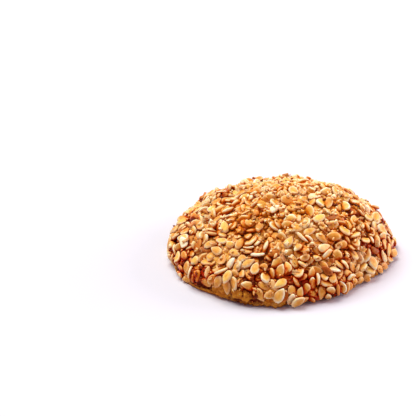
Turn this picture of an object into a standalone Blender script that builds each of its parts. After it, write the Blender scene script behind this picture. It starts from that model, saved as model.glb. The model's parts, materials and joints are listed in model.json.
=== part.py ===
"""A round shortbread cookie that was rolled in sesame seeds and baked: a low mound with a rounded
waist and a flat foot, and the larger seeds of its coat standing out of it, all one solid.
Metres, +Z up. The cookie stands on Z = 0, and the photograph looks at it along +Y."""

import math
import random

import bmesh
import bpy
from mathutils import Euler, Matrix, Vector, noise

# The cookie over its seeds.
COOKIE_WIDTH = 0.0538
COOKIE_HEIGHT = 0.0185

# One sesame seed: a flat drop, pointed at one end.
SEED_LENGTH = 0.0036
SEED_WIDTH = 0.0023
SEED_THICKNESS = 0.0010
POINTED_END = 0.40
# Its levels from below up: (corners, share of its outline, height as a share of its thickness).
SEED_LEVELS = ((1, 0.10, -0.25), (6, 1.00, 0.00), (3, 0.50, 0.75))
SEED_PROUD = SEED_LEVELS[-1][2] * SEED_THICKNESS

# How the seeds lie on the dough.
SEED_SIZES = (0.97, 1.12)
SEED_SPACING = 0.0028
SEED_TRIES = 9000
MOST_TILT = math.radians(14)
LOWEST_SEED_CENTRE = 0.0012
FLOOR_CLEARANCE = 0.0003

# The dough under the seeds.
DOUGH_RADIUS = COOKIE_WIDTH / 2 - SEED_PROUD
DOUGH_HEIGHT = COOKIE_HEIGHT - SEED_PROUD
WAIST_HEIGHT = 0.0023
FOOT_SHARE = 0.89
FOOT_LATITUDE = math.radians(-35)
SHOULDER_FULLNESS = 1.59
CROWN_FULLNESS = 1.33
UNDERCUT_FULLNESS = 1.72
DOUGH_DETAIL = 4
FLAT_ANGLE = math.radians(0.5)

# How it slumped in the oven: its +X side sank to the tray and is fuller, its -X side stayed up on
# a higher waist, and its top leans towards +X. Azimuths are seen from above, from +X on.
WAIST_RISE = 0.0014
HIGH_WAIST_AZIMUTH = math.radians(181)
SIDE_FULLNESS = 0.32
FULL_SIDE_AZIMUTH = math.radians(-18)
CROWN_LEAN = Vector((0.0047, 0.0004, 0.0))
LEAN_POWER = 1.21
# Its faint corners in plan: (how many, how far they stand out as a share, azimuth of one).
CORNERS = ((3, 0.040, math.radians(10)), (4, 0.014, math.radians(19)))

# Lumps of the baked top: (distance between lumps, height of a lump).
LUMPS = ((0.0140, 0.00065), (0.0055, 0.00030))

CRUST_COLOUR = (0.62, 0.33, 0.11, 1.0)
CRUST_ROUGHNESS = 0.42


def clear_scene():
    for thing in list(bpy.data.objects):
        bpy.data.objects.remove(thing)


def collection_named(name):
    made = bpy.data.collections.new(name)
    bpy.context.scene.collection.children.link(made)
    return made


def crust_material():
    made = bpy.data.materials.new("sesame_crust")
    made.use_nodes = True
    shader = made.node_tree.nodes["Principled BSDF"]
    shader.inputs["Base Color"].default_value = CRUST_COLOUR
    shader.inputs["Roughness"].default_value = CRUST_ROUGHNESS
    shader.inputs["Metallic"].default_value = 0.0
    return made


def profile(latitude, fullness, waist):
    """Radius and height of the mound's profile, from the middle of its foot round to its crown."""
    turn = abs(latitude)
    if latitude >= 0:
        radius = math.cos(turn) ** (2 / fullness)
        rise = math.sin(turn) ** (2 / CROWN_FULLNESS)
        return DOUGH_RADIUS * radius, waist + (DOUGH_HEIGHT - waist) * rise
    foot_turn = abs(FOOT_LATITUDE)
    if turn >= foot_turn:
        across = (math.pi / 2 - turn) / (math.pi / 2 - foot_turn)
        return DOUGH_RADIUS * FOOT_SHARE * across, 0.0
    share = turn / foot_turn * math.pi / 2
    radius = FOOT_SHARE + (1 - FOOT_SHARE) * math.cos(share) ** (2 / UNDERCUT_FULLNESS)
    return DOUGH_RADIUS * radius, waist * (1 - math.sin(share) ** (2 / UNDERCUT_FULLNESS))


def dough_point(direction):
    """Where the dough's surface lies, seen from its middle in that direction."""
    azimuth = math.atan2(direction.y, direction.x)
    fullness = SHOULDER_FULLNESS + SIDE_FULLNESS * math.cos(azimuth - FULL_SIDE_AZIMUTH)
    waist = WAIST_HEIGHT + WAIST_RISE * math.cos(azimuth - HIGH_WAIST_AZIMUTH)
    radius, height = profile(math.asin(max(-1.0, min(1.0, direction.z))), fullness, waist)
    for count, share, corner_azimuth in CORNERS:
        radius *= 1 + share * math.cos(count * (azimuth - corner_azimuth))
    point = Vector((radius * math.cos(azimuth), radius * math.sin(azimuth), height))
    above_waist = max(0.0, height - WAIST_HEIGHT) / (DOUGH_HEIGHT - WAIST_HEIGHT)
    point += CROWN_LEAN * above_waist ** LEAN_POWER
    # The lumps fade out at the foot, which baked flat on its tray.
    fade = min(1.0, height / WAIST_HEIGHT)
    for spacing, depth in LUMPS:
        point += direction * (noise.noise(point / spacing) * depth * fade)
    return point


def make_dough(collection):
    mesh = bpy.data.meshes.new("sesame_cookie")
    ball = bmesh.new()
    bmesh.ops.create_icosphere(ball, subdivisions=DOUGH_DETAIL, radius=1.0)
    for vertex in ball.verts:
        vertex.co = dough_point(vertex.co.normalized())
    ball.normal_update()
    # The foot's flat triangles become one face.
    bmesh.ops.dissolve_limit(ball, angle_limit=FLAT_ANGLE, verts=ball.verts, edges=ball.edges)
    ball.to_mesh(mesh)
    ball.free()
    dough = bpy.data.objects.new("sesame_cookie", mesh)
    collection.objects.link(dough)
    return dough


def seed_outline(angle, share):
    """A point of the seed's drop-shaped outline, which comes to its point at angle 0."""
    narrowing = abs(math.sin(angle / 2)) ** POINTED_END
    across = math.sin(angle) * narrowing
    return share * math.cos(angle) * SEED_LENGTH / 2, share * across * SEED_WIDTH / 2


def make_seed_mesh():
    """A flat drop lying along X, its point towards +X, with a smaller flat top over its outline."""
    mesh = bpy.data.meshes.new("seed")
    seed = bmesh.new()
    for corners, share, height in SEED_LEVELS:
        for corner in range(corners):
            x, y = seed_outline(2 * math.pi * corner / corners, share)
            seed.verts.new((x, y, height * SEED_THICKNESS))
    bmesh.ops.convex_hull(seed, input=seed.verts)
    bmesh.ops.recalc_face_normals(seed, faces=seed.faces)
    seed.to_mesh(mesh)
    seed.free()
    return mesh


def random_places(mesh, draw):
    """Random points on a mesh's triangles, as many for each square millimetre everywhere."""
    mesh.calc_loop_triangles()
    triangles = list(mesh.loop_triangles)
    for triangle in draw.choices(triangles, [t.area for t in triangles], k=SEED_TRIES):
        a, b, c = (mesh.vertices[i].co for i in triangle.vertices)
        u, v = sorted((draw.random(), draw.random()))
        yield a * u + b * (v - u) + c * (1 - v), triangle.normal.copy()


def spaced_places(mesh, draw):
    """Those of the random points that keep a seed's distance from the ones before."""
    kept = []
    for point, normal in random_places(mesh, draw):
        if point.z < LOWEST_SEED_CENTRE:
            continue
        if all((point - other).length >= SEED_SPACING for other, _ in kept):
            kept.append((point, normal))
    return kept


def seed_matrix(point, normal, draw):
    """A seed that lies on the dough with a random turn and tilt, sunk to its widest level."""
    spin = Matrix.Rotation(draw.uniform(0, 2 * math.pi), 4, "Z")
    tilt = Euler((draw.uniform(-MOST_TILT, MOST_TILT), draw.uniform(-MOST_TILT, MOST_TILT), 0))
    size = Matrix.Scale(draw.uniform(*SEED_SIZES), 4)
    facing = normal.to_track_quat("Z", "Y").to_matrix().to_4x4()
    return Matrix.Translation(point) @ facing @ tilt.to_matrix().to_4x4() @ spin @ size


def scatter_seeds(dough, collection):
    draw = random.Random(7)
    seed_mesh = make_seed_mesh()
    for point, normal in spaced_places(dough.data, draw):
        place = seed_matrix(point, normal, draw)
        lowest = min((place @ vertex.co).z for vertex in seed_mesh.vertices)
        if lowest < FLOOR_CLEARANCE:
            continue
        seed = bpy.data.objects.new("seed", seed_mesh)
        seed.matrix_world = place
        collection.objects.link(seed)


def fuse(dough, collection):
    """One union joins the seeds to the dough, and the seeds' own objects then go."""
    union = dough.modifiers.new("fuse_seeds", "BOOLEAN")
    union.operation = "UNION"
    union.operand_type = "COLLECTION"
    union.collection = collection
    union.solver = "MANIFOLD"
    bpy.context.view_layer.update()
    evaluated = dough.evaluated_get(bpy.context.evaluated_depsgraph_get())
    fused = bpy.data.meshes.new_from_object(evaluated)
    dough.modifiers.remove(union)
    dough.data = fused
    for seed in list(collection.objects):
        bpy.data.objects.remove(seed)
    bpy.data.collections.remove(collection)


def island_of(start):
    """All the faces that hang together with the first one."""
    found = {start}
    front = [start]
    while front:
        face = front.pop()
        for edge in face.edges:
            for other in edge.link_faces:
                if other not in found:
                    found.add(other)
                    front.append(other)
    return found


def keep_outer_skin(mesh):
    """Drops loose scraps, and the walls of any hollow that the seeds closed in."""
    skin = bmesh.new()
    skin.from_mesh(mesh)
    skin.verts.ensure_lookup_table()
    top = max(skin.verts, key=lambda vertex: vertex.co.z)
    outer = island_of(top.link_faces[0])
    inner = [face for face in skin.faces if face not in outer]
    bmesh.ops.delete(skin, geom=inner, context="FACES")
    bmesh.ops.triangulate(skin, faces=skin.faces)
    skin.to_mesh(mesh)
    skin.free()


def centre_on_foot(mesh):
    """Moves the cookie until the origin is under the middle of its box."""
    xs = [vertex.co.x for vertex in mesh.vertices]
    ys = [vertex.co.y for vertex in mesh.vertices]
    middle = Vector(((min(xs) + max(xs)) / 2, (min(ys) + max(ys)) / 2, 0.0))
    mesh.transform(Matrix.Translation(-middle))


def main():
    clear_scene()
    cookie_collection = collection_named("sesame_cookie")
    seed_collection = collection_named("seeds")
    dough = make_dough(cookie_collection)
    scatter_seeds(dough, seed_collection)
    fuse(dough, seed_collection)
    keep_outer_skin(dough.data)
    centre_on_foot(dough.data)
    dough.data.materials.clear()
    dough.data.materials.append(crust_material())


main()
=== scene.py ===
"""A round shortbread cookie, baked in a thick coat of toasted sesame seeds."""
import json
import math
import random

import bmesh
import bpy
import numpy as np
from mathutils import Matrix, Quaternion, Vector, noise
from mathutils.bvhtree import BVHTree

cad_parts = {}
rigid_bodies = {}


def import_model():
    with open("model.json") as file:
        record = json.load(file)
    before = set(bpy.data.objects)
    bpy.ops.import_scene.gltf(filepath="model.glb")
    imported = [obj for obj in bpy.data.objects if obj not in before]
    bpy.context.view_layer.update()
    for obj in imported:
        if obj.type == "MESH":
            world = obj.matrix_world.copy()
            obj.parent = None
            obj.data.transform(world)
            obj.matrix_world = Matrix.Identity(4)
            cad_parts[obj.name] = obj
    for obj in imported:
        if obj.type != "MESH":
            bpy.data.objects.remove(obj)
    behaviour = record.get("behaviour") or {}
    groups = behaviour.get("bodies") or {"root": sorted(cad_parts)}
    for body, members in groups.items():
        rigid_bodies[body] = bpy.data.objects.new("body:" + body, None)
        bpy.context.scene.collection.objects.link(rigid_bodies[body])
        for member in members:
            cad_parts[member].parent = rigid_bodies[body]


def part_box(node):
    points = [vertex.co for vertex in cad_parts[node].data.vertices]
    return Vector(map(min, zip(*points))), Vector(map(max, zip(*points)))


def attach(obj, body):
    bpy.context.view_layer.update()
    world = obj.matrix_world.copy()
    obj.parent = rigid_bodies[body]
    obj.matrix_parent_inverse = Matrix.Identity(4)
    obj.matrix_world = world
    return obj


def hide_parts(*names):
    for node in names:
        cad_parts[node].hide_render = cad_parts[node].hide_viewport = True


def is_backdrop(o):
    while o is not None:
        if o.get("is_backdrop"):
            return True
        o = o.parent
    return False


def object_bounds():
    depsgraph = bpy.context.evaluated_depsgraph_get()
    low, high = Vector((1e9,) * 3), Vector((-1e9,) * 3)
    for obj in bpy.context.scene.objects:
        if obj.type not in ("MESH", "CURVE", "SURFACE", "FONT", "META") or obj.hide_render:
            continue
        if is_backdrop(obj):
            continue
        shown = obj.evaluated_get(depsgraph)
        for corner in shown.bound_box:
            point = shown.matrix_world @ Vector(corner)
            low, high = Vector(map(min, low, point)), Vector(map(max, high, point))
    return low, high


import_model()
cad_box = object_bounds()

# ------------------------------------------------------------------------------------------------
# The camera: a long lens, well back, that looks down on the front of the cookie.
# The cookie lies right of the middle of the picture and a little below it.
MM = 0.001
IMAGE_WIDTH = 416
PIXELS_PER_MM = 4.32
FOOT_IN_IMAGE = (281.8, 255.6)
CAMERA_ELEVATION = math.radians(26.5)
CAMERA_DISTANCE = 900 * MM
NEAREST_SEEN = 50 * MM

view_up = Vector((0, math.sin(CAMERA_ELEVATION), math.cos(CAMERA_ELEVATION)))
view_forward = Vector((0, math.cos(CAMERA_ELEVATION), -math.sin(CAMERA_ELEVATION)))
foot_right, foot_down = ((place - IMAGE_WIDTH / 2) / PIXELS_PER_MM * MM for place in FOOT_IN_IMAGE)
looked_at = view_up * foot_down - Vector((foot_right, 0, 0))


def new_object(name, data):
    """An object in the scene, at the origin, for a mesh, a lamp or a camera."""
    made = bpy.data.objects.new(name, data)
    bpy.context.scene.collection.objects.link(made)
    return made


camera_data = bpy.data.cameras.new("camera")
camera_data.lens = camera_data.sensor_width * CAMERA_DISTANCE / (IMAGE_WIDTH / PIXELS_PER_MM * MM)
camera_data.clip_start = NEAREST_SEEN
camera = new_object("camera", camera_data)
camera.location = looked_at - view_forward * CAMERA_DISTANCE
camera.rotation_euler = (math.pi / 2 - CAMERA_ELEVATION, 0, 0)
bpy.context.scene.camera = camera

# ------------------------------------------------------------------------------------------------
# The table: a wide sheet of matt white card under a soft, bright studio light.
# A large lamp hangs over the cookie, a little to its left. A weak one stands low on its right,
# and white walls light the rest.
TABLE_WIDTH = 6000 * MM
CARD_COLOUR = "#D6CFDC"
CARD_ROUGHNESS = 0.8
FIBRE_WIDTH = 1.5 * MM
FIBRE_RELIEF = 0.02 * MM
WALL_COLOUR = "#FFDFEA"
WALL_BRIGHTNESS = 0.35
KEY_PLACE = Vector((-540, 450, 1630)) * MM
KEY_WIDTH = 1500 * MM
KEY_POWER = 48.7
KEY_COLOUR = "#F2FFF4"
FILL_PLACE = Vector((1050, 300, 320)) * MM
FILL_WIDTH = 800 * MM
FILL_POWER = 11.5
FILL_COLOUR = "#FFFFFF"


def srgb(code):
    """An sRGB hex colour as the linear red, green, blue and alpha that a shader takes."""
    shares = [int(code[place:place + 2], 16) / 255 for place in (1, 3, 5)]
    return *(s / 12.92 if s <= 0.04045 else ((s + 0.055) / 1.055) ** 2.4 for s in shares), 1.0


def add(tree, kind, inputs=(), **settings):
    """Adds a node with its settings and inputs. A node as an input is linked by its first output."""
    made = tree.nodes.new(kind)
    for name, value in settings.items():
        setattr(made, name, value)
    for socket, value in dict(inputs).items():
        if isinstance(value, bpy.types.Node):
            value = next(output for output in value.outputs if output.enabled)
        if isinstance(value, bpy.types.NodeSocket):
            tree.links.new(value, made.inputs[socket])
        else:
            made.inputs[socket].default_value = value
    return made


def speckles(tree, to_the_metre, detail, place=None):
    """Adds an uneven pattern, with so many spots to the metre."""
    where = {"Vector": place} if place else {}
    return add(tree, "ShaderNodeTexNoise", {"Scale": to_the_metre, "Detail": detail, **where})


def new_material(name, **values):
    """A material with one principled shader, and the tree and the shader to work on."""
    made = bpy.data.materials.new(name)
    made.use_nodes = True
    shader = made.node_tree.nodes["Principled BSDF"]
    for socket, value in values.items():
        shader.inputs[socket.replace("_", " ")].default_value = value
    return made, made.node_tree, shader


def mesh_of(name, builder):
    """The finished mesh of what a builder holds, shaded smooth."""
    mesh = bpy.data.meshes.new(name)
    builder.to_mesh(mesh)
    builder.free()
    mesh.shade_smooth()
    return mesh


# Matt card: cotton fibre, calendered but not coated, so light spreads evenly with hardly a gloss.
card, card_tree, card_shader = new_material(
    "matt_white_card", Base_Color=srgb(CARD_COLOUR), Roughness=CARD_ROUGHNESS
)
card_fibre = speckles(card_tree, 1 / FIBRE_WIDTH, 3.0)
card_bump = add(card_tree, "ShaderNodeBump", {"Height": card_fibre, "Distance": FIBRE_RELIEF})
card_tree.links.new(card_bump.outputs[0], card_shader.inputs["Normal"])

table_builder = bmesh.new()
bmesh.ops.create_grid(table_builder, x_segments=1, y_segments=1, size=TABLE_WIDTH / 2)
table = new_object("table", mesh_of("table", table_builder))
table.data.materials.append(card)
table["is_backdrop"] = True

walls = bpy.data.worlds.new("white_walls")
walls.use_nodes = True
wall_light = walls.node_tree.nodes["Background"]
wall_light.inputs["Color"].default_value = srgb(WALL_COLOUR)
wall_light.inputs["Strength"].default_value = WALL_BRIGHTNESS
bpy.context.scene.world = walls
bpy.context.scene.view_settings.view_transform = "Standard"


def hang_lamp(name, place, width, power, colour):
    """A square soft lamp that faces the cookie."""
    light = bpy.data.lights.new(name, "AREA")
    light.size = width
    light.energy = power
    light.color = srgb(colour)[:3]
    lamp = new_object(name, light)
    lamp.location = place
    lamp.rotation_euler = (-place).to_track_quat("-Z", "Y").to_euler()


hang_lamp("key_light", KEY_PLACE, KEY_WIDTH, KEY_POWER, KEY_COLOUR)
hang_lamp("fill_light", FILL_PLACE, FILL_WIDTH, FILL_POWER, FILL_COLOUR)

# ------------------------------------------------------------------------------------------------
# The dough's form: butter shortbread, rolled to a ball by hand, pressed flat and baked on a tray.
# It slumped in the oven: its right side sank to the tray, its left stayed up on a higher waist,
# and its top leans to the right. Its foot baked flat. Low on its front left the coat ran out, and
# a narrow band of bare dough shows there, drawn in under the coat's edge.
cookie_low, cookie_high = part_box("sesame_cookie")
COAT_THICKNESS = 1.5 * MM
# Seeds that stand on edge reach further out than the coat is thick, above all on the crown.
PROUD_AT_WAIST = 0.1 * MM
PROUD_ON_CROWN = 0.8 * MM
COOKIE_RADIUS = (cookie_high - cookie_low).xy.dot(Vector((1, 1))) / 4
DOUGH_RADIUS = COOKIE_RADIUS - COAT_THICKNESS - PROUD_AT_WAIST
DOUGH_HEIGHT = cookie_high.z - COAT_THICKNESS - PROUD_ON_CROWN
DOUGH_SHIFT = 0.15 * MM
WAIST_HEIGHT = 2.3 * MM
WAIST_RISE = 1.4 * MM
HIGH_WAIST_AZIMUTH = math.radians(181)
# The foot is narrower than the waist, except towards the back left, where it is as wide.
FOOT_SHARE = 0.94
FOOT_LATITUDE = math.radians(-35)
FULL_FOOT = 0.06
FULL_FOOT_AZIMUTH = math.radians(212)
FULL_FOOT_SPREAD = math.radians(38)
SHOULDER_FULLNESS = 1.59
SIDE_FULLNESS = 0.32
FULL_SIDE_AZIMUTH = math.radians(-18)
CROWN_FULLNESS = 1.33
UNDERCUT_FULLNESS = 1.72
CROWN_LEAN = Vector((5.4, 0.4, 0.0)) * MM
LEAN_POWER = 1.21
# Its faint corners in plan: how many, how far they stand out as a share, azimuth of one.
CORNERS = ((3, 0.040, math.radians(1)), (4, 0.014, math.radians(14)), (6, 0.006, math.radians(30)))
# Lumps of the baked top: distance between lumps, height of a lump.
LUMPS = ((14.0 * MM, 0.65 * MM), (5.5 * MM, 0.50 * MM), (2.6 * MM, 0.20 * MM))
BARE_AZIMUTH = math.radians(-116)
BARE_SPREAD = math.radians(26)
# Where its side is drawn in: azimuth, spread, how far in, at what height, reach up and down.
DRAWN_IN = (
    (BARE_AZIMUTH, BARE_SPREAD, 1.5 * MM, 1.1 * MM, 1.8 * MM),
    (math.radians(-38), math.radians(16), 1.0 * MM, 2.0 * MM, 5.0 * MM),
    (math.radians(-148), math.radians(26), 1.3 * MM, 3.6 * MM, 3.2 * MM),
)
PIT_WIDTH = 2.2 * MM
PIT_DEPTH = 0.5 * MM
# How soon the pits are at their full depth, inwards from the foot's rim.
PIT_ONSET = 6
DOUGH_DETAIL = 6
DOUGH_CUTS = 2


def profile(latitude, fullness, waist, foot):
    """Radius and height of the mound's profile, from the middle of its foot round to its crown."""
    turn = abs(latitude)
    if latitude >= 0:
        radius = math.cos(turn) ** (2 / fullness)
        rise = math.sin(turn) ** (2 / CROWN_FULLNESS)
        return DOUGH_RADIUS * radius, waist + (DOUGH_HEIGHT - waist) * rise
    foot_turn = abs(FOOT_LATITUDE)
    if turn >= foot_turn:
        across = (math.pi / 2 - turn) / (math.pi / 2 - foot_turn)
        return DOUGH_RADIUS * foot * across, 0.0
    share = turn / foot_turn * math.pi / 2
    radius = foot + (1 - foot) * math.cos(share) ** (2 / UNDERCUT_FULLNESS)
    return DOUGH_RADIUS * radius, waist * (1 - math.sin(share) ** (2 / UNDERCUT_FULLNESS))


def near_side(azimuth, middle, spread):
    """How near a side of the cookie is to the middle one of a stretch, from 0 to 1."""
    return math.exp(-(math.remainder(azimuth - middle, 2 * math.pi) / spread) ** 2)


def dough_point(direction):
    """Where the dough's surface lies, seen from its middle in that direction."""
    azimuth = math.atan2(direction.y, direction.x)
    fullness = SHOULDER_FULLNESS + SIDE_FULLNESS * math.cos(azimuth - FULL_SIDE_AZIMUTH)
    waist = WAIST_HEIGHT + WAIST_RISE * math.cos(azimuth - HIGH_WAIST_AZIMUTH)
    foot = FOOT_SHARE + FULL_FOOT * near_side(azimuth, FULL_FOOT_AZIMUTH, FULL_FOOT_SPREAD)
    radius, height = profile(math.asin(max(-1.0, min(1.0, direction.z))), fullness, waist, foot)
    for count, share, corner_azimuth in CORNERS:
        radius *= 1 + share * math.cos(count * (azimuth - corner_azimuth))
    # The foot is drawn in with the side over it, less and less towards its middle.
    on_rim = min(1.0, radius / (DOUGH_RADIUS * foot))
    for middle, spread, how_far, at_height, reach in DRAWN_IN:
        at_this_height = math.exp(-((height - at_height) / reach) ** 2)
        radius -= how_far * near_side(azimuth, middle, spread) * at_this_height * on_rim
    point = Vector((radius * math.cos(azimuth), radius * math.sin(azimuth), height))
    above_waist = max(0.0, height - WAIST_HEIGHT) / (DOUGH_HEIGHT - WAIST_HEIGHT)
    point += CROWN_LEAN * above_waist ** LEAN_POWER
    fade = min(1.0, height / WAIST_HEIGHT)
    for spacing, depth in LUMPS:
        point += direction * (noise.noise(point / spacing) * depth * fade)
    # Steam lifted the underside off the tray here and there.
    if height == 0:
        inward = min(1.0, PIT_ONSET * (1 - radius / (DOUGH_RADIUS * FOOT_SHARE)))
        point.z += max(0.0, inward) * PIT_DEPTH * (0.5 + noise.noise(point / PIT_WIDTH))
    return point


def positions(mesh):
    """The places of a mesh's points, one row for each."""
    flat = np.empty(len(mesh.vertices) * 3)
    mesh.vertices.foreach_get("co", flat)
    return flat.reshape(-1, 3)


def surface_of(*meshes):
    """The faces of some meshes as one surface that can be searched."""
    places, faces = [], []
    for mesh in meshes:
        faces += [[corner + len(places) for corner in polygon.vertices] for polygon in mesh.polygons]
        places += [vertex.co.copy() for vertex in mesh.vertices]
    return BVHTree.FromPolygons(places, faces)


dough_builder = bmesh.new()
bmesh.ops.create_icosphere(dough_builder, subdivisions=DOUGH_DETAIL, radius=1.0)
bmesh.ops.subdivide_edges(
    dough_builder, edges=dough_builder.edges, cuts=DOUGH_CUTS, use_grid_fill=True
)
for vertex in dough_builder.verts:
    vertex.co = dough_point(vertex.co.normalized())
dough_mesh = mesh_of("baked_dough", dough_builder)
dough_places = positions(dough_mesh)
dough_middle = Vector(dough_places.max(axis=0) + dough_places.min(axis=0)) / 2
to_middle = (cookie_low + cookie_high) / 2 - dough_middle
dough_mesh.transform(Matrix.Translation((to_middle.x + DOUGH_SHIFT, to_middle.y, 0)))
dough = new_object("baked_dough", dough_mesh)
dough_surface = surface_of(dough_mesh)

# ------------------------------------------------------------------------------------------------
# How the coat lies: the wet ball was rolled in seeds, so they lie on it a seed or two deep.
# Most lie flat, some lean on their neighbours or stand on edge, and few reach down to the foot.
# Many cracked when it was pressed, above all on its crown.
SEED_LENGTH = 3.5 * MM
# The width is where a seed's sides would be without the point, which draws them in by a tenth.
SEED_WIDTH = 2.7 * MM
SEED_THICKNESS = 0.9 * MM
POINTED_END = 0.50
BALLS_ROUND = 8
BALLS_ALONG = (-0.18, 0.0, 0.18)
SEEDS_IN_COAT = 940
TRIES_FOR_EACH = 20
SEED_SIZES = (0.82, 1.06)
SEED_SPACING = 1.26 * MM
COAT_DEPTHS = (0.3 * MM, 3.2 * MM)
LOWEST_SEED = 1.1 * MM
STEEPEST_UNDERSIDE = -0.8
LOWEST_RISE = -0.2 * MM
FOOT_WANDER = (0.6 * MM, 11.0 * MM)
BARE_RISE = 3.5 * MM
FULL_COAT_FROM = 6.0 * MM
SHARE_AT_FOOT = 0.20
HOLLOW_WIDTH = 3.4 * MM
HOLLOW_FROM = 0.40
LEANING_FROM = 0.45
ON_EDGE_FROM = 0.76
FLAT_LEAN = 0.35
LEANS = (0.5, 1.1)
BROKEN_AT_FOOT = 0.16
BROKEN_AT_CROWN = 0.60
BROKEN_LENGTHS = (0.42, 0.70)
SETTLING_STEPS = 150
FREEING_STEPS = 40
STEPS_TO_A_SEARCH = 5
PRESS_AT_FOOT = 0.03 * MM
PRESS_AT_CROWN = 0.055 * MM
SINK = 0.35 * MM
LYING_ON_TRAY = 0.8 * MM


def seed_outline(angle):
    """A point of a seed's drop-shaped outline, which comes to its point at angle 0."""
    narrowing = abs(math.sin(angle / 2)) ** POINTED_END
    return math.cos(angle) * SEED_LENGTH / 2, math.sin(angle) * narrowing * SEED_WIDTH / 2


def seed_balls():
    """Balls that fill a seed's form and stand for it while the coat settles."""
    ring = [seed_outline(2 * math.pi * step / BALLS_ROUND) for step in range(BALLS_ROUND)]
    inset = Vector((1 - SEED_THICKNESS / SEED_LENGTH, 1 - SEED_THICKNESS / SEED_WIDTH))
    places = [(x * inset.x, y * inset.y, 0) for x, y in ring]
    places += [(share * SEED_LENGTH, 0, 0) for share in BALLS_ALONG]
    return np.array(places) - np.mean(places, axis=0)


def random_places(mesh, draw, count):
    """Random points on a mesh's triangles, as many for each square millimetre everywhere."""
    mesh.calc_loop_triangles()
    triangles = list(mesh.loop_triangles)
    for triangle in draw.choices(triangles, [t.area for t in triangles], k=count):
        a, b, c = (mesh.vertices[index].co for index in triangle.vertices)
        u, v = sorted((draw.random(), draw.random()))
        yield a * u + b * (v - u) + c * (1 - v), triangle.normal.copy()


def coat_edge(point):
    """How high the coat's lower edge is below a point: it wanders, and rises over the bare band."""
    wander, wander_width = FOOT_WANDER
    azimuth = math.atan2(point.y, point.x)
    rise = LOWEST_RISE * math.cos(azimuth - HIGH_WAIST_AZIMUTH)
    rise += BARE_RISE * near_side(azimuth, BARE_AZIMUTH, BARE_SPREAD)
    return LOWEST_SEED + wander * noise.noise(point / wander_width) + rise


def spaced_places(mesh, draw, wanted, spacing):
    """Random points on the dough that keep apart and thin out towards the foot."""
    kept, normals = np.ones((wanted, 3)), np.zeros((wanted, 3))
    count = 0
    for point, normal in random_places(mesh, draw, wanted * TRIES_FOR_EACH):
        lowest = coat_edge(point)
        if point.z < lowest or normal.z < STEEPEST_UNDERSIDE:
            continue
        share = (point.z - lowest) / (FULL_COAT_FROM - lowest)
        if draw.random() > SHARE_AT_FOOT + (1 - SHARE_AT_FOOT) * share:
            continue
        if noise.noise(point / HOLLOW_WIDTH) > HOLLOW_FROM:
            continue
        if np.linalg.norm(kept[:count] - point, axis=1).min(initial=1.0) < spacing:
            continue
        kept[count], normals[count] = point, normal
        count += 1
        if count == wanted:
            break
    return kept[:count], normals[:count]


def random_turn(normal, draw):
    """How a seed falls on the dough: mostly flat, sometimes leaning, now and then on edge."""
    fall = draw.random()
    lean = abs(draw.gauss(0, FLAT_LEAN))
    if fall > LEANING_FROM:
        lean = draw.uniform(*LEANS)
    if fall > ON_EDGE_FROM:
        lean = draw.uniform(LEANS[1], math.pi / 2)
    spin = Matrix.Rotation(draw.uniform(0, 2 * math.pi), 3, "Z")
    roll = Matrix.Rotation(draw.uniform(0, 2 * math.pi), 3, "Z")
    facing = Vector(normal).to_track_quat("Z", "Y").to_matrix()
    return np.array(facing @ spin @ Matrix.Rotation(lean, 3, "X") @ roll)


def refit(balls, forms):
    """Where each seed lies when its balls have been pushed about: the nearest rigid place."""
    centres = balls.mean(axis=1)
    u, _, vt = np.linalg.svd(np.einsum("nki,nkj->nij", balls - centres[:, None], forms))
    u[:, :, 2] *= np.linalg.det(u @ vt)[:, None]
    return centres, u @ vt


def settle(forms, radii, centres, turns, presses):
    """Presses the seeds onto the dough and pushes them apart, until each has its own room."""
    for step in range(SETTLING_STEPS + FREEING_STEPS):
        if step % STEPS_TO_A_SEARCH == 0:
            found = [dough_surface.find_nearest(centre) for centre in centres]
            feet = np.array([place for place, _, _, _ in found])
            normals = np.array([normal for _, normal, _, _ in found])
            apart = np.linalg.norm(centres[:, None] - centres, axis=2)
            first, second = np.nonzero(np.triu(apart < SEED_LENGTH, 1))
        balls = centres[:, None] + np.einsum("nij,nkj->nki", turns, forms)
        if step < SETTLING_STEPS:
            balls -= (normals * presses[:, None])[:, None]
        gap = balls[first][:, :, None] - balls[second][:, None]
        distance = np.sqrt(np.einsum("mabi,mabi->mab", gap, gap)) + 1e-9
        overlap = np.maximum(0, (radii[first] + radii[second])[:, None, None] - distance)
        push = gap * (overlap / distance / 2)[..., None]
        np.add.at(balls, first, push.sum(axis=2))
        np.add.at(balls, second, -push.sum(axis=1))
        above = np.einsum("nki,ni->nk", balls - feet[:, None], normals)
        sunk = np.maximum(0, radii[:, None] - SINK - above)
        balls += normals[:, None] * sunk[..., None]
        balls[..., 2] = np.maximum(balls[..., 2], radii[:, None])
        centres, turns = refit(balls, forms)
    return centres, turns


coat_draw = random.Random(11)
seed_feet, seed_normals = spaced_places(dough_mesh, coat_draw, SEEDS_IN_COAT, SEED_SPACING)
seed_sizes = np.array([coat_draw.uniform(*SEED_SIZES) for _ in seed_feet])
crown_shares = seed_feet[:, 2] / DOUGH_HEIGHT
broken_shares = BROKEN_AT_FOOT + (BROKEN_AT_CROWN - BROKEN_AT_FOOT) * crown_shares ** 2
seed_breaks = np.array([
    coat_draw.uniform(*BROKEN_LENGTHS) if coat_draw.random() < share else 1.0
    for share in broken_shares
])
start_depths = np.array([coat_draw.uniform(*COAT_DEPTHS) for _ in seed_feet])
start_turns = np.array([random_turn(normal, coat_draw) for normal in seed_normals])
seed_forms = seed_balls() * seed_sizes[:, None, None]
seed_forms[:, :, 0] *= seed_breaks[:, None]
start_places = seed_feet + seed_normals * start_depths[:, None]
presses = PRESS_AT_FOOT + (PRESS_AT_CROWN - PRESS_AT_FOOT) * crown_shares
seed_places, seed_turns = settle(
    seed_forms, seed_sizes * SEED_THICKNESS / 2, start_places, start_turns, presses
)
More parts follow.
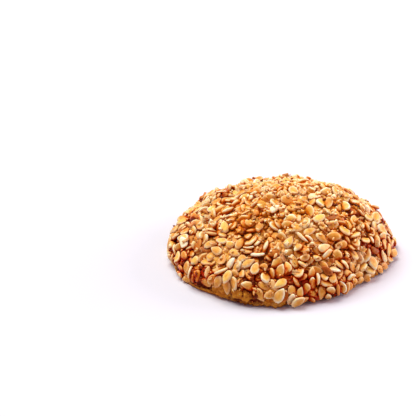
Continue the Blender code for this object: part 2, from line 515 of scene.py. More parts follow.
# The few seeds that the others pushed off the dough, onto the tray, are left out.
stuck = seed_places[:, 2] > LYING_ON_TRAY
seed_places, seed_turns, seed_sizes, seed_breaks = (
    values[stuck] for values in (seed_places, seed_turns, seed_sizes, seed_breaks)
)

# ------------------------------------------------------------------------------------------------
# Toasted sesame seeds: flat drops, each with a raised pale rim round a dished, oily middle.
# Honey-gold for the most part, and glued on with a thin film of caramel.
RIM_SEGMENTS = 12
# Rings of a flat seed from its upper to its lower side: share of the outline, height in
# thicknesses, how near the rim. A plump seed bulges instead, as high as its middle is here.
SEED_RINGS = (
    (0.64, 0.42, 0.2), (0.92, 0.30, 1.0), (1.00, 0.0, 1.0), (0.92, -0.30, 1.0), (0.64, -0.42, 0.2)
)
PLUMP_HEIGHT = 0.62
MIDDLE_SET_BACK = 0.10
BREAK_UNEVENNESS = 0.06
TRAY_CLEARANCE = 0.15 * MM
DENT_WIDTH = 1.3 * MM
DENT_DEPTH = 0.5 * MM


def seed_mesh(name, slender=1.0, bend=0.0, plump=0.0, dish=0.45, rimmed=1.0, kept=1.0, draw=None):
    """A seed lying along X, its point towards +X, or what is kept of one that broke off there."""
    builder = bmesh.new()
    rim = builder.verts.layers.float.new("rim")
    meat = builder.verts.layers.float.new("meat")
    break_at = (kept - 0.5) * SEED_LENGTH
    middle_at = (kept - 1) * SEED_LENGTH / 2

    def seed_point(x, y, z, near_rim):
        broken = draw is not None and x > break_at
        if broken:
            x = break_at + draw.uniform(-BREAK_UNEVENNESS, BREAK_UNEVENNESS) * SEED_LENGTH
        lift = bend * (x / SEED_LENGTH) ** 2 * SEED_LENGTH
        vertex = builder.verts.new((x - middle_at, y * slender, z * SEED_THICKNESS + lift))
        vertex[rim] = near_rim * rimmed
        vertex[meat] = float(broken)
        return vertex

    rings = []
    for share, flat_height, near_rim in SEED_RINGS:
        bulge = math.copysign(PLUMP_HEIGHT * math.sqrt(1 - share ** 2), flat_height)
        height = (1 - plump) * flat_height + plump * bulge
        outline = [
            seed_outline(2 * math.pi * segment / RIM_SEGMENTS) for segment in range(RIM_SEGMENTS)
        ]
        rings.append([seed_point(x * share, y * share, height, near_rim) for x, y in outline])
    for upper, lower in zip(rings, rings[1:]):
        for here in range(RIM_SEGMENTS):
            after = (here + 1) % RIM_SEGMENTS
            builder.faces.new((upper[here], lower[here], lower[after], upper[after]))
    for ring, side in ((rings[0], 1), (rings[-1], -1)):
        crown = (1 - plump) * dish + plump * PLUMP_HEIGHT
        middle = seed_point(-MIDDLE_SET_BACK * SEED_LENGTH, 0, side * crown, 0.0)
        for here in range(RIM_SEGMENTS):
            after = (here + 1) % RIM_SEGMENTS
            builder.faces.new((middle, ring[here], ring[after]))
    bmesh.ops.recalc_face_normals(builder, faces=builder.faces)
    return mesh_of(name, builder)


def apply_nodes(piece, tree, **inputs):
    """Runs a tree of geometry nodes on a piece and keeps the result as its plain mesh."""
    modifier = piece.modifiers.new("nodes", "NODES")
    modifier.node_group = tree
    sockets = {s.name: s.identifier for s in tree.interface.items_tree if s.in_out == "INPUT"}
    for name, value in inputs.items():
        modifier[sockets[name.replace("_", " ")]] = value
    bpy.context.view_layer.update()
    evaluated = piece.evaluated_get(bpy.context.evaluated_depsgraph_get())
    result = bpy.data.meshes.new_from_object(evaluated)
    piece.modifiers.remove(modifier)
    piece.data = result
    result.name = piece.name
    return piece


def work_out(tree, operation, first, second, **settings):
    """Adds a node that works out a number from two others."""
    return add(tree, "ShaderNodeMath", {0: first, 1: second}, operation=operation, **settings)


def new_tree(tree_name, **inputs):
    """A tree of geometry nodes with named inputs, and its input and output nodes."""
    tree = bpy.data.node_groups.new(tree_name, "GeometryNodeTree")
    tree.interface.new_socket("Geometry", in_out="INPUT", socket_type="NodeSocketGeometry")
    for name, kind in inputs.items():
        name = name.replace("_", " ")
        tree.interface.new_socket(name, in_out="INPUT", socket_type=f"NodeSocket{kind}")
    tree.interface.new_socket("Geometry", in_out="OUTPUT", socket_type="NodeSocketGeometry")
    return tree, add(tree, "NodeGroupInput"), add(tree, "NodeGroupOutput")


# Sowing puts one of a kind's shapes at each point, turned and sized as the point says, and notes
# how far each bit of it stands above the dough.
sow_tree, sow_in, sow_out = new_tree(
    "sowing", Shapes="Collection", Dough="Object", Dent_width="Float", Dent_depth="Float",
    Material="Material"
)
shape_of, turn_of, size_of = (
    add(sow_tree, "GeometryNodeInputNamedAttribute", {"Name": name}, data_type=kind)
    for name, kind in (("shape", "INT"), ("turn", "QUATERNION"), ("size", "FLOAT"))
)
shapes_in = add(sow_tree, "GeometryNodeCollectionInfo", {
    "Collection": sow_in.outputs["Shapes"], "Separate Children": True, "Reset Children": True,
})
sown = add(sow_tree, "GeometryNodeInstanceOnPoints", {
    "Points": sow_in.outputs["Geometry"], "Instance": shapes_in, "Pick Instance": True,
    "Instance Index": shape_of, "Rotation": turn_of, "Scale": size_of,
})
realized = add(sow_tree, "GeometryNodeRealizeInstances", {"Geometry": sown})
dents_per_metre = work_out(sow_tree, "DIVIDE", 1.0, sow_in.outputs["Dent width"])
dents = speckles(sow_tree, dents_per_metre, 1.0)
dents_evened = add(
    sow_tree, "ShaderNodeVectorMath", {0: dents.outputs["Color"], 1: (0.5, 0.5, 0.5)},
    operation="SUBTRACT"
)
dent_offset = add(
    sow_tree, "ShaderNodeVectorMath", {0: dents_evened, "Scale": sow_in.outputs["Dent depth"]},
    operation="SCALE"
)
dented = add(sow_tree, "GeometryNodeSetPosition", {"Geometry": realized, "Offset": dent_offset})
dough_in = add(sow_tree, "GeometryNodeObjectInfo", {"Object": sow_in.outputs["Dough"]})
from_dough = add(
    sow_tree, "GeometryNodeProximity", {0: dough_in.outputs["Geometry"]}, target_element="FACES"
)
noted = add(
    sow_tree, "GeometryNodeStoreNamedAttribute",
    {"Geometry": dented, "Name": "height", "Value": from_dough.outputs["Distance"]},
    data_type="FLOAT", domain="POINT",
)
sown_finish = add(sow_tree, "GeometryNodeSetMaterial", {
    "Geometry": noted, "Material": sow_in.outputs["Material"],
})
sow_tree.links.new(sown_finish.outputs[0], sow_out.inputs[0])


def sow(name, meshes, material, places, turns, sizes, draw):
    """One piece of all the scattered things of a kind, none of which reaches through the tray."""
    chosen = [draw.randrange(len(meshes)) for _ in places]
    lowest = [(positions(meshes[shape]) @ turn[2]).min() for shape, turn in zip(chosen, turns)]
    sunk = TRAY_CLEARANCE - np.array(places)[:, 2] - np.array(lowest) * sizes
    lifts = np.maximum(0, sunk)[:, None] * (0, 0, 1)
    points = bpy.data.meshes.new(name)
    points.from_pydata([Vector(place) for place in places + lifts], [], [])
    quaternions = [Matrix(turn).to_quaternion() for turn in turns]
    values = (
        ("shape", "INT", chosen),
        ("turn", "QUATERNION", [part for turn in quaternions for part in turn]),
        ("size", "FLOAT", list(sizes)),
        ("tone", "FLOAT", [draw.random() for _ in places]),
    )
    for attribute, kind, numbers in values:
        points.attributes.new(attribute, kind, "POINT").data.foreach_set("value", numbers)
    shapes = bpy.data.collections.new(f"{name}_shapes")
    # Collection Info takes them in the order of their names.
    for number, mesh in enumerate(meshes):
        shapes.objects.link(bpy.data.objects.new(f"{number}_{mesh.name}", mesh))
    piece = apply_nodes(
        new_object(name, points), sow_tree, Shapes=shapes, Dough=dough, Dent_width=DENT_WIDTH,
        Dent_depth=DENT_DEPTH, Material=material
    )
    for shape in list(shapes.objects):
        bpy.data.objects.remove(shape)
    bpy.data.collections.remove(shapes)
    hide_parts("sesame_cookie")
    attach(piece, "root")
    return piece


# Toasted seed: a thin, slightly clear skin over oily white meat, so it glows a little at its rim
# and has a soft gloss. Low in the coat and in patches a thin sugar glaze gilds it, and shines, and
# burnt caramel patches redden it. Where the seeds shut each other in, and on their sides and
# undersides, the glaze and caramel tints are laid on as painted shade, the caramel one weaker on
# the crown.
GLAZE_AND_SHADE_TINT = "#F2B040"
GLAZE_PATCH = 5.0 * MM
POOL_FROM = 0.49
POOL_TO = 0.63
CARAMEL_AND_SHADE_TINT = "#D24E08"
CREVICE_FROM = 0.03
CREVICE_TO = 0.30
FULL_SHADE_BELOW = 6.0 * MM
SHADE_AT_CROWN = 0.18
SHADE_CARAMEL_FROM = 0.20
SHADE_CARAMEL_TO = 0.50
MEAT_COLOUR = "#FFF2CE"
GLOW = 0.15
GLOW_REACH = 0.6 * MM
GLOW_BY_COLOUR = (1.0, 0.45, 0.15)
GLOSS_TINT = "#FFD89C"
GLOSS = 0.35
DRY_ROUGHNESS = 0.48
WET_ROUGHNESS = 0.20
GLAZE_ON_SEEDS = 0.5
SOAKED_BELOW = 0.1 * MM
DRY_ABOVE = 1.5 * MM
SOAKED_SHARE = 0.7
# Nearly all values of a noise lie between these.
NOISE_RANGE = (0.3, 0.7)
FRECKLE_WIDTH = 0.8 * MM
FRECKLE_CONTRAST = 0.45
WRINKLE_WIDTH = 0.35 * MM
WRINKLE_DEPTH = 0.08 * MM
WRINKLE_STRENGTH = 0.8


def ramp(tree, value, start, end, low=0.0, high=1.0):
    """Adds a node that goes from low to high while a value goes from its start to its end."""
    return add(tree, "ShaderNodeMapRange", {
        "Value": value, "From Min": start, "From Max": end, "To Min": low, "To Max": high,
    })


def blend(tree, share, first, second, blend_type="MIX"):
    """Adds a node that goes from one colour to another, or to their product, by a share."""
    return add(
        tree, "ShaderNodeMix", {0: share, 6: first, 7: second}, data_type="RGBA",
        blend_type=blend_type
    )


def seed_material(name, rim_colours, middle_colours):
    """A sesame seed's finish: rim, middle, the meat where it broke, caramel, and painted shade."""
    material, tree, shader = new_material(
        name, Specular_IOR_Level=GLOSS, Specular_Tint=srgb(GLOSS_TINT),
        Subsurface_Weight=GLOW, Subsurface_Scale=GLOW_REACH, Subsurface_Radius=GLOW_BY_COLOUR,
    )
    noted = {
        key: add(tree, "ShaderNodeAttribute", attribute_name=key).outputs["Fac"]
        for key in ("tone", "rim", "meat", "height", "cover")
    }
    place = add(tree, "ShaderNodeTexCoord").outputs["Object"]
    freckles = speckles(tree, 1 / FRECKLE_WIDTH, 4.0, place)
    spread = ramp(tree, freckles, *NOISE_RANGE, -FRECKLE_CONTRAST, FRECKLE_CONTRAST)
    uneven = work_out(tree, "ADD", noted["tone"], spread, use_clamp=True)
    middle, rim = (
        blend(tree, uneven, srgb(light), srgb(dark)) for light, dark in (middle_colours, rim_colours)
    )
    skin = blend(tree, noted["rim"], middle, rim)
    bare = blend(tree, noted["meat"], skin, srgb(MEAT_COLOUR))
    soaked = ramp(tree, noted["height"], SOAKED_BELOW, DRY_ABOVE, SOAKED_SHARE, 0.0)
    patches = speckles(tree, 1 / GLAZE_PATCH, 4.0, place)
    in_patch = ramp(tree, patches, POOL_FROM, POOL_TO, high=GLAZE_ON_SEEDS)
    # Painted shade: the glaze tint where the seed is shut in by its neighbours.
    in_crevice = ramp(tree, noted["cover"], CREVICE_FROM, CREVICE_TO)
    gathered = work_out(tree, "MAXIMUM", soaked, in_patch)
    glaze_and_shade = work_out(tree, "MAXIMUM", gathered, in_crevice)
    glazed_and_shaded = blend(tree, glaze_and_shade, bare, srgb(GLAZE_AND_SHADE_TINT), "MULTIPLY")
    height = add(tree, "ShaderNodeSeparateXYZ", {0: place}).outputs["Z"]
    # Painted shade: the caramel tint where it is shut in, full low down and weaker on the crown.
    deepest_shade = ramp(tree, height, FULL_SHADE_BELOW, DOUGH_HEIGHT, 1.0, SHADE_AT_CROWN)
    shut_in = ramp(tree, noted["cover"], SHADE_CARAMEL_FROM, SHADE_CARAMEL_TO, high=deepest_shade)
    colour = blend(tree, shut_in, glazed_and_shaded, srgb(CARAMEL_AND_SHADE_TINT), "MULTIPLY")
    tree.links.new(colour.outputs[2], shader.inputs["Base Color"])
    gloss = ramp(tree, glaze_and_shade, 0.0, 1.0, DRY_ROUGHNESS, WET_ROUGHNESS)
    tree.links.new(gloss.outputs[0], shader.inputs["Roughness"])
    wrinkles = speckles(tree, 1 / WRINKLE_WIDTH, 3.0, place)
    relief = add(tree, "ShaderNodeBump", {
        "Height": wrinkles, "Distance": WRINKLE_DEPTH, "Strength": WRINKLE_STRENGTH,
    })
    tree.links.new(relief.outputs[0], shader.inputs["Normal"])
    return material


PALE_SHARE = 0.08
SCORCHED_SHARE = 0.06
GOLD = ("#F6F0DD", "#F6DCA9")
HONEY = ("#F6C153", "#DA8A22")
whole_shapes = [
    seed_mesh("plump_seed", 0.94, 0.10, plump=0.75, rimmed=0.6),
    seed_mesh("slender_seed", 0.84, -0.10, plump=0.6, rimmed=0.7),
    seed_mesh("flat_seed", 1.00, 0.0, plump=0.0, dish=0.30),
    seed_mesh("cupped_seed", 0.96, 0.30, plump=0.2, dish=0.36, rimmed=0.9),
    seed_mesh("curled_seed", 0.92, -0.25, plump=0.5, rimmed=0.8),
]
kinds = np.array([coat_draw.random() for _ in seed_places])
whole = seed_breaks == 1.0
of_kind = {
    "toasted_seeds": whole & (kinds >= PALE_SHARE + SCORCHED_SHARE),
    "pale_seeds": whole & (kinds < PALE_SHARE),
    "scorched_seeds": whole & (kinds >= PALE_SHARE) & (kinds < PALE_SHARE + SCORCHED_SHARE),
    "broken_seeds": ~whole,
}


def sow_seeds(name, meshes, material):
    """One piece of all the settled seeds of a kind."""
    chosen = of_kind[name]
    return sow(
        name, meshes, material, seed_places[chosen], seed_turns[chosen], seed_sizes[chosen], coat_draw
    )


toasted = sow_seeds("toasted_seeds", whole_shapes, seed_material("toasted_sesame", GOLD, HONEY))

# ------------------------------------------------------------------------------------------------
# Pale seeds: the ones that lay deep in the bowl, where they hardly browned.
# They are the same drops of oily meat in a thin skin, stuck on with the others, still cream-white.
CREAM = ("#FFFAEC", "#FCE8C4")
IVORY = ("#FAECCC", "#EECB90")
pale = sow_seeds("pale_seeds", whole_shapes, seed_material("pale_sesame", CREAM, IVORY))

# ------------------------------------------------------------------------------------------------
# Scorched seeds: they touched the hot tray or stood proud of the rest in the oven.
# Their skin turned red-brown, and the glaze that holds them burnt with it.
RUSSET = ("#E09848", "#C06A28")
MAROON = ("#C06418", "#8A3408")
scorched = sow_seeds("scorched_seeds", whole_shapes, seed_material("scorched_sesame", RUSSET, MAROON))

# ------------------------------------------------------------------------------------------------
# Broken seeds: blunt ends left when the seeds cracked under the hand that pressed the cookie.
# They are toasted outside like the whole ones, and ragged and pale where they broke.
break_draw = random.Random(5)
# How slender each kind of end is, and how much of its length is left.
BROKEN_ENDS = ((1.0, 0.62), (0.9, 0.5), (1.05, 0.45), (0.95, 0.68))
broken_shapes = [
    seed_mesh(f"broken_seed_{step}", slender, plump=0.7, rimmed=0.5, kept=length, draw=break_draw)
    for step, (slender, length) in enumerate(BROKEN_ENDS)
]
broken = sow_seeds("broken_seeds", broken_shapes, seed_material("broken_sesame", GOLD, HONEY))

# ------------------------------------------------------------------------------------------------
# The dough's crumb: sandy grains, with caramel and crumb drawn up between the seeds.
# Its foot was flat on the tray and browned there.
GRAIN_WIDTH = 0.6 * MM
GRAIN_HEIGHT = 1.0 * MM
CLUMP_SHARE = 0.4
# Grains stand up only this far from the seeds, so that none pokes through a seed.
GRAINS_FROM = 0.1 * MM
FULL_GRAINS_FROM = 0.5 * MM
SMOOTH_FOOT = 0.8 * MM
# The foot, which faces this far down or further, has no grains and keeps its own pits.
FOOT_FACES = (-0.9, -0.6)
FILLED_SHARE = 0.70
MOST_FILLED = 1.2 * MM
CRUMB_COLOUR = "#E4962E"
CRUMB_SHADE = "#B45A10"
GAP_SHADE_COLOUR = "#641104"
GAP_FROM = 0.08
GAP_TO = 0.36
TRAY_BROWN = "#9A5018"
TRAY_BROWN_BELOW = 0.5 * MM
MOTTLE_WIDTH = 0.9 * MM
MOTTLE_RANGE = (0.35, 0.65)
SAND_WIDTH = 0.25 * MM
SAND_DEPTH = 0.22 * MM
CRUMB_GLOSS = 0.2
DRY_CRUMB_ROUGHNESS = 0.5
POOL_ROUGHNESS = 0.25
POOL_DEPTH = 1.0 * MM
POOLS_FROM = 2.5 * MM
POOL_COLOUR = "#E6A44A"

crumb_tree, crumb_in, crumb_out = new_tree(
    "crumb", Coat="Collection", Grain_width="Float", Grain_height="Float", Fade_height="Float",
    Filled_share="Float", Most_filled="Float", Pool_width="Float", Pool_depth="Float",
    Material="Material"
)
coat_in = add(crumb_tree, "GeometryNodeCollectionInfo", {"Collection": crumb_in.outputs["Coat"]})
coat_mesh = add(crumb_tree, "GeometryNodeRealizeInstances", {"Geometry": coat_in})
from_coat = add(crumb_tree, "GeometryNodeProximity", {0: coat_mesh}, target_element="FACES")
gap_width = from_coat.outputs["Distance"]
filled = work_out(crumb_tree, "MULTIPLY", gap_width, crumb_in.outputs["Filled share"])
filled_most = work_out(crumb_tree, "MINIMUM", filled, crumb_in.outputs["Most filled"])
grains_per_metre = work_out(crumb_tree, "DIVIDE", 1.0, crumb_in.outputs["Grain width"])
grains = add(crumb_tree, "ShaderNodeTexVoronoi", {"Scale": grains_per_metre}, feature="SMOOTH_F1")
clumps_per_metre = work_out(crumb_tree, "MULTIPLY", grains_per_metre, CLUMP_SHARE)
clumps = speckles(crumb_tree, clumps_per_metre, 4.0)
grain_shape = work_out(crumb_tree, "SUBTRACT", clumps, grains)
grain_room = ramp(
    crumb_tree, gap_width, GRAINS_FROM, FULL_GRAINS_FROM, high=crumb_in.outputs["Grain height"]
)
grain_rise = work_out(crumb_tree, "MULTIPLY", grain_shape, grain_room)
dry_rise = work_out(crumb_tree, "ADD", grain_rise, filled_most)
pools_per_metre = work_out(crumb_tree, "DIVIDE", 1.0, crumb_in.outputs["Pool width"])
pool_noise = speckles(crumb_tree, pools_per_metre, 4.0)
pool_share = ramp(crumb_tree, pool_noise, POOL_FROM, POOL_TO)
place_now = add(crumb_tree, "GeometryNodeInputPosition")
height_now = add(crumb_tree, "ShaderNodeSeparateXYZ", {0: place_now}).outputs["Z"]
pool_depth = ramp(
    crumb_tree, height_now, POOLS_FROM, DOUGH_HEIGHT, high=crumb_in.outputs["Pool depth"]
)
pool_rise = work_out(crumb_tree, "MULTIPLY", pool_share, pool_depth)
whole_rise = work_out(crumb_tree, "ADD", dry_rise, pool_rise)
outward = add(crumb_tree, "GeometryNodeInputNormal")
upward_share = add(crumb_tree, "ShaderNodeSeparateXYZ", {0: outward}).outputs["Z"]
off_foot = ramp(crumb_tree, upward_share, *FOOT_FACES)
fade_in = ramp(crumb_tree, height_now, 0.0, crumb_in.outputs["Fade height"], high=off_foot)
faded_rise = work_out(crumb_tree, "MULTIPLY", whole_rise, fade_in)
moved = add(crumb_tree, "ShaderNodeVectorMath", {0: outward, "Scale": faded_rise}, operation="SCALE")
raised = add(crumb_tree, "GeometryNodeSetPosition", {
    "Geometry": crumb_in.outputs["Geometry"], "Offset": moved,
})
# No point of it goes below the tray.
above_tray = add(
    crumb_tree, "ShaderNodeVectorMath", {0: place_now, 1: (-1, -1, 0)}, operation="MAXIMUM"
)
flattened = add(crumb_tree, "GeometryNodeSetPosition", {"Geometry": raised, "Position": above_tray})
crumb_finish = add(crumb_tree, "GeometryNodeSetMaterial", {
    "Geometry": flattened, "Material": crumb_in.outputs["Material"],
})
crumb_tree.links.new(crumb_finish.outputs[0], crumb_out.inputs[0])

# Baked shortbread: sandy, buttery and browned, and matt between its grains. In the narrow gaps
# under the seeds, and on its sides and undersides, it is darkened to a deep red-brown as painted
# shade, deepest low on the cookie and more in burnt caramel patches.
crust, crust_tree, crust_shader = new_material(
    "baked_shortbread", Specular_IOR_Level=CRUMB_GLOSS, Specular_Tint=srgb(GLOSS_TINT)
)
crust_place = add(crust_tree, "ShaderNodeTexCoord").outputs["Object"]
mottle = speckles(crust_tree, 1 / MOTTLE_WIDTH, 5.0, crust_place)
crumb_spread = ramp(crust_tree, mottle, *MOTTLE_RANGE)
crumb_colour = blend(crust_tree, crumb_spread, srgb(CRUMB_SHADE), srgb(CRUMB_COLOUR))
crust_patches = speckles(crust_tree, 1 / GLAZE_PATCH, 4.0, crust_place)
in_pool = ramp(crust_tree, crust_patches, POOL_FROM, POOL_TO)
pooled = blend(crust_tree, in_pool, crumb_colour, srgb(POOL_COLOUR))
pool_gloss = ramp(crust_tree, in_pool, 0.0, 1.0, DRY_CRUMB_ROUGHNESS, POOL_ROUGHNESS)
crust_tree.links.new(pool_gloss.outputs[0], crust_shader.inputs["Roughness"])
crust_shade_and_caramel = add(crust_tree, "ShaderNodeAttribute", attribute_name="cover").outputs["Fac"]
crust_height = add(crust_tree, "ShaderNodeSeparateXYZ", {0: crust_place}).outputs["Z"]
# Painted shade in the gaps: full low on the cookie, weaker on the crown.
crust_deepest_shade = ramp(crust_tree, crust_height, FULL_SHADE_BELOW, DOUGH_HEIGHT, 1.0, SHADE_AT_CROWN)
shut_share = ramp(crust_tree, crust_shade_and_caramel, GAP_FROM, GAP_TO, high=crust_deepest_shade)
gap_shaded = blend(crust_tree, shut_share, pooled, srgb(GAP_SHADE_COLOUR))
off_tray = ramp(crust_tree, crust_height, 0.0, TRAY_BROWN_BELOW)
crust_colour = blend(crust_tree, off_tray, srgb(TRAY_BROWN), gap_shaded)
crust_tree.links.new(crust_colour.outputs[2], crust_shader.inputs["Base Color"])
sand = speckles(crust_tree, 1 / SAND_WIDTH, 4.0, crust_place)
sand_bump = add(crust_tree, "ShaderNodeBump", {"Height": sand, "Distance": SAND_DEPTH})
crust_tree.links.new(sand_bump.outputs[0], crust_shader.inputs["Normal"])

coat = bpy.data.collections.new("coat")
for piece in (toasted, pale, scorched, broken):
    coat.objects.link(piece)
apply_nodes(
    dough, crumb_tree, Coat=coat, Grain_width=GRAIN_WIDTH, Grain_height=GRAIN_HEIGHT,
    Fade_height=SMOOTH_FOOT, Filled_share=FILLED_SHARE, Most_filled=MOST_FILLED,
    Pool_width=GLAZE_PATCH, Pool_depth=POOL_DEPTH, Material=crust
)
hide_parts("sesame_cookie")
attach(dough, "root")

# ------------------------------------------------------------------------------------------------
# Painted shade and burnt caramel: each point of the coat and the crumb notes how far it is shut
# in by what stands round it and how far it faces down, which the finishes above lay on as painted
# shade, and caramel that burnt more in some patches than in others.
CARAMEL_PATCH = 5.0 * MM
PATCH_GAIN = 1.2
PATCH_TINT = 0.42
PATCH_FROM = 0.06
UNDERSIDE_SHADE = 0.25
UNDERSIDE_SHADE_FACING = 0.45
UNDERSIDE_SHADE_FULL_ABOVE = 4.0 * MM
OCCLUSION_START = 0.04 * MM
OCCLUSION_REACH = 1.6 * MM
OCCLUSION_UPWARD = 0.5


def burnt_patch(point):
    """How far the caramel caught in the oven round a place: above 0 more than elsewhere."""
    return noise.noise(point / CARAMEL_PATCH)


def note_shade_and_caramel(piece):
    """Notes each point's painted shade: how far it is shut in, six ways and out, and how far it
    faces sideways or down. Burnt caramel patches raise or lower it.
    """
    piece.data.attributes.new("cover", "FLOAT", "POINT")
    cover = []
    for vertex in piece.data.vertices:
        normal = vertex.normal
        across = normal.orthogonal().normalized()
        ways = [normal] + [
            normal * OCCLUSION_UPWARD + Matrix.Rotation(turn * math.pi / 3, 3, normal) @ across
            for turn in range(6)
        ]
        start = vertex.co + normal * OCCLUSION_START
        met = [coat_surface.ray_cast(start, way, OCCLUSION_REACH)[3] for way in ways]
        shut_in = sum(1 - far / OCCLUSION_REACH for far in met if far is not None) / len(ways)
        # Sides and undersides get painted shade too, fading out towards the foot.
        shut_in += UNDERSIDE_SHADE * max(0.0, UNDERSIDE_SHADE_FACING - normal.z) * min(1.0, vertex.co.z / UNDERSIDE_SHADE_FULL_ABOVE)
        patch = burnt_patch(vertex.co)
        tint = PATCH_TINT * (patch - PATCH_FROM)
        cover.append(max(0.0, shut_in * (1 + PATCH_GAIN * patch) + tint))
    piece.data.attributes["cover"].data.foreach_set("value", cover)


coat_surface = surface_of(dough.data, *(piece.data for piece in coat.objects))
# The dough and the seeds note their painted shade.
for piece in (dough, *coat.objects):
    note_shade_and_caramel(piece)

# ------------------------------------------------------------------------------------------------
# Chips: splinters of seed meat, left when the coat was pressed, lodged between the whole seeds.
# They are thickest on the crown, where the hand pressed hardest.
CHIPS = 640
CHIP_TRIES = 6
CHIP_SIZES = (0.9 * MM, 2.1 * MM)
CHIP_FORM = (1.0, 0.62, 0.38)
CHIPS_FROM = 2.5 * MM
CHIPS_AT_WAIST = 0.3
CHIP_REACH = 0.9 * MM
CHIP_LIFT = 0.15 * MM
LUMP_UNEVENNESS = (0.72, 1.22)
FALL_FROM = 8 * MM
CHIP_COLOURS = (("#FFECC4", "#F4C47C"), ("#FFD890", "#DE983C"))


def lump_mesh(name, form, draw, meat_share):
    """A broken bit, a unit across and of twenty faces, a share of which are bare meat."""
    builder = bmesh.new()
    rim = builder.verts.layers.float.new("rim")
    meat = builder.verts.layers.float.new("meat")
    bmesh.ops.create_icosphere(builder, subdivisions=1, radius=0.5)
    for vertex in builder.verts:
        vertex.co *= draw.uniform(*LUMP_UNEVENNESS)
        vertex.co = Vector(share * across for share, across in zip(vertex.co, form))
        vertex[rim] = draw.random()
        vertex[meat] = float(draw.random() < meat_share)
    return mesh_of(name, builder)


def landing(point, normal):
    """Where something that falls on the coat from outside, towards this point, comes to lie."""
    place, facing, _, _ = coat_surface.ray_cast(point + normal * FALL_FROM, -normal)
    return place, facing


def any_turn(draw):
    """Any turn at all, each as likely as the next."""
    return np.array(Quaternion([draw.gauss(0, 1) for _ in range(4)]).normalized().to_matrix())


def sow_lumps(name, shapes, form, material, places, sizes, draw, meat_share=0.4):
    """One piece of all the broken bits of a kind, each of them turned at random."""
    lumps = [lump_mesh(f"{name}_{step}", form, draw, meat_share) for step in range(shapes)]
    turns = [any_turn(draw) for _ in places]
    return sow(name, lumps, material, places, turns, [draw.uniform(*sizes) for _ in places], draw)


chip_draw = random.Random(17)
chip_places = []
for point, normal in random_places(dough_mesh, chip_draw, CHIPS * CHIP_TRIES):
    height_share = (point.z - CHIPS_FROM) / (DOUGH_HEIGHT - CHIPS_FROM)
    if height_share < 0:
        continue
    if chip_draw.random() > CHIPS_AT_WAIST + (1 - CHIPS_AT_WAIST) * height_share:
        continue
    place, _ = landing(point, normal)
    if place is None or len(chip_places) == CHIPS:
        continue
    if (place - point).length <= CHIP_REACH * (1 + height_share):
        chip_places.append(place + normal * CHIP_LIFT)
# Sesame meat: oily and white under a tan skin, so a chip is pale and softly glossy.
chips = sow_lumps(
    "seed_chips", 6, CHIP_FORM, seed_material("sesame_meat", *CHIP_COLOURS), chip_places,
    CHIP_SIZES, chip_draw
)
# Painted shade where the chips are shut in by the coat.
note_shade_and_caramel(chips)

# ------------------------------------------------------------------------------------------------
# Burnt caramel: beads of the sugar glaze, which pooled between the seeds and burnt in the oven.
# They are hard, glossy and dark red, and hold the seeds round them.
BEADS = 260
BEAD_TRIES = 20
BEAD_SIZES = (0.6 * MM, 1.4 * MM)
BEAD_FORM = (1.0, 0.8, 0.6)
BEADS_IN_PATCHES = (0.0, 0.4)
BEAD_COLOURS = (("#B0480E", "#741A04"), ("#963206", "#560E02"))

bead_draw = random.Random(41)
bead_places = []
for point, normal in random_places(dough_mesh, bead_draw, BEADS * BEAD_TRIES):
    place, _ = landing(point, normal)
    if place is None or point.z < CHIPS_FROM or len(bead_places) == BEADS:
        continue
    if (place - point).length >= CHIP_REACH:
        continue
    if burnt_patch(place) > bead_draw.uniform(*BEADS_IN_PATCHES):
        bead_places.append(place)
# Burnt sugar: hard and clear, so it is near black-red and shines where it is thick.
sow_lumps(
    "burnt_caramel", 4, BEAD_FORM, seed_material("burnt_caramel", *BEAD_COLOURS), bead_places,
    BEAD_SIZES, bead_draw, meat_share=0.0
)

# ------------------------------------------------------------------------------------------------
# Hulls: papery skins that came off the seeds when they cracked.
# The oven curled them, and they are stuck on top of the coat with the glaze.
HULLS = 120
HULL_TRIES = 3
HULL_LENGTH = 2.4 * MM
HULL_WIDTH = 1.4 * MM
HULL_THICKNESS = 0.09 * MM
HULL_TAPER = 1.6
HULL_TEARS = 0.18
HULL_BOW = 0.25
HULL_LEVEL = 0.12
HULL_CURLS = (1.0, -0.9, 1.6, -1.4)
HULL_TILT = 0.5
HULL_LIFT = 0.10 * MM
HULL_SIZES = (0.4, 1.0)
HULL_COLOURS = (("#FBE3C0", "#E9A96A"), ("#F6D2A4", "#CF7B3E"))


def hull_mesh(name, curl, draw):
    """A torn, curled scrap of skin, as a thin closed shell."""
    builder = bmesh.new()
    for layer in ("rim", "meat"):
        builder.verts.layers.float.new(layer)
    bmesh.ops.create_grid(builder, x_segments=4, y_segments=3, size=0.5)
    for vertex in builder.verts:
        x, y, _ = vertex.co
        narrow = 1 - HULL_TAPER * x * x + draw.uniform(-HULL_TEARS, HULL_TEARS)
        bow = curl * (y * y - HULL_LEVEL) + HULL_BOW * x * x
        vertex.co = (x * HULL_LENGTH, y * HULL_WIDTH * narrow, bow * HULL_WIDTH)
    bmesh.ops.solidify(builder, geom=builder.faces[:], thickness=HULL_THICKNESS)
    bmesh.ops.recalc_face_normals(builder, faces=builder.faces)
    return mesh_of(name, builder)


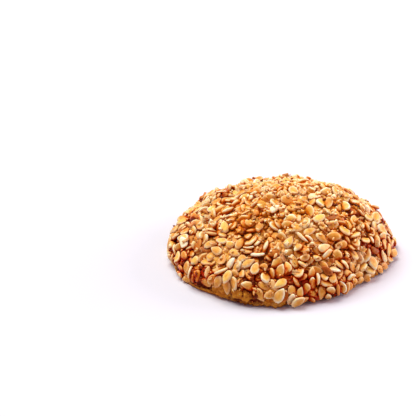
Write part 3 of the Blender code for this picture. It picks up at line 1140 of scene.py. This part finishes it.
hull_draw = random.Random(23)
hull_places, hull_turns = [], []
for point, normal in random_places(dough_mesh, hull_draw, HULLS * HULL_TRIES):
    place, facing = landing(point, normal)
    if point.z < FULL_COAT_FROM or place is None or len(hull_places) == HULLS:
        continue
    lean = (facing + normal).normalized()
    hull_places.append(place + lean * HULL_LIFT)
    hull_turns.append(np.array(
        lean.to_track_quat("Z", "Y").to_matrix()
        @ Matrix.Rotation(hull_draw.uniform(0, 2 * math.pi), 3, "Z")
        @ Matrix.Rotation(hull_draw.uniform(-HULL_TILT, HULL_TILT), 3, "X")
    ))
hull_shapes = [hull_mesh(f"hull_{step}", curl, hull_draw) for step, curl in enumerate(HULL_CURLS)]
hull_sizes = [hull_draw.uniform(*HULL_SIZES) for _ in hull_places]
# Seed skin: dry and thin as paper, so it is pale, and tan where the oven caught it.
sow(
    "seed_hulls", hull_shapes, seed_material("sesame_hull", *HULL_COLOURS), hull_places,
    hull_turns, hull_sizes, hull_draw
)

# ------------------------------------------------------------------------------------------------
# Crumbs: grains of dough and the smallest chips of seed, browned in the oven.
# They stuck in the hollows of the coat and along the foot.
CRUMBS = 1300
CRUMB_TRIES = 7
CRUMB_SIZES = (0.22 * MM, 0.75 * MM)
CRUMB_FORM = (1.0, 0.9, 0.8)
CRUMB_REACH = 0.9 * MM
CRUMBS_FROM = 0.3 * MM
CRUMBS_ON_TOP = 0.01
CRUMB_COLOURS = (("#F4BC6C", "#C07C2C"), ("#DA9444", "#9E5016"))

crumb_draw = random.Random(31)
crumb_places = []
for point, normal in random_places(dough_mesh, crumb_draw, CRUMBS * CRUMB_TRIES):
    place, _ = landing(point, normal)
    if place is None or point.z < CRUMBS_FROM or len(crumb_places) == CRUMBS:
        continue
    if (place - point).length < CRUMB_REACH or crumb_draw.random() < CRUMBS_ON_TOP:
        crumb_places.append(place)
# Toasted crumb: sugary and rough, so it is golden to brown and hardly shines.
crumbs = sow_lumps(
    "crumbs", 5, CRUMB_FORM, seed_material("toasted_crumb", *CRUMB_COLOURS), crumb_places,
    CRUMB_SIZES, crumb_draw
)
# Painted shade where the crumbs are shut in by the coat.
note_shade_and_caramel(crumbs)

# ------------------------------------------------------------------------------------------------
# The cookie is whole. The coat's helper collection goes, and the sizes are gathered.
bpy.data.collections.remove(coat)
visual_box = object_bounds()
sizes = {"cad": cad_box, "visual": visual_box}
{name: [list(corner) for corner in box] for name, box in sizes.items()}
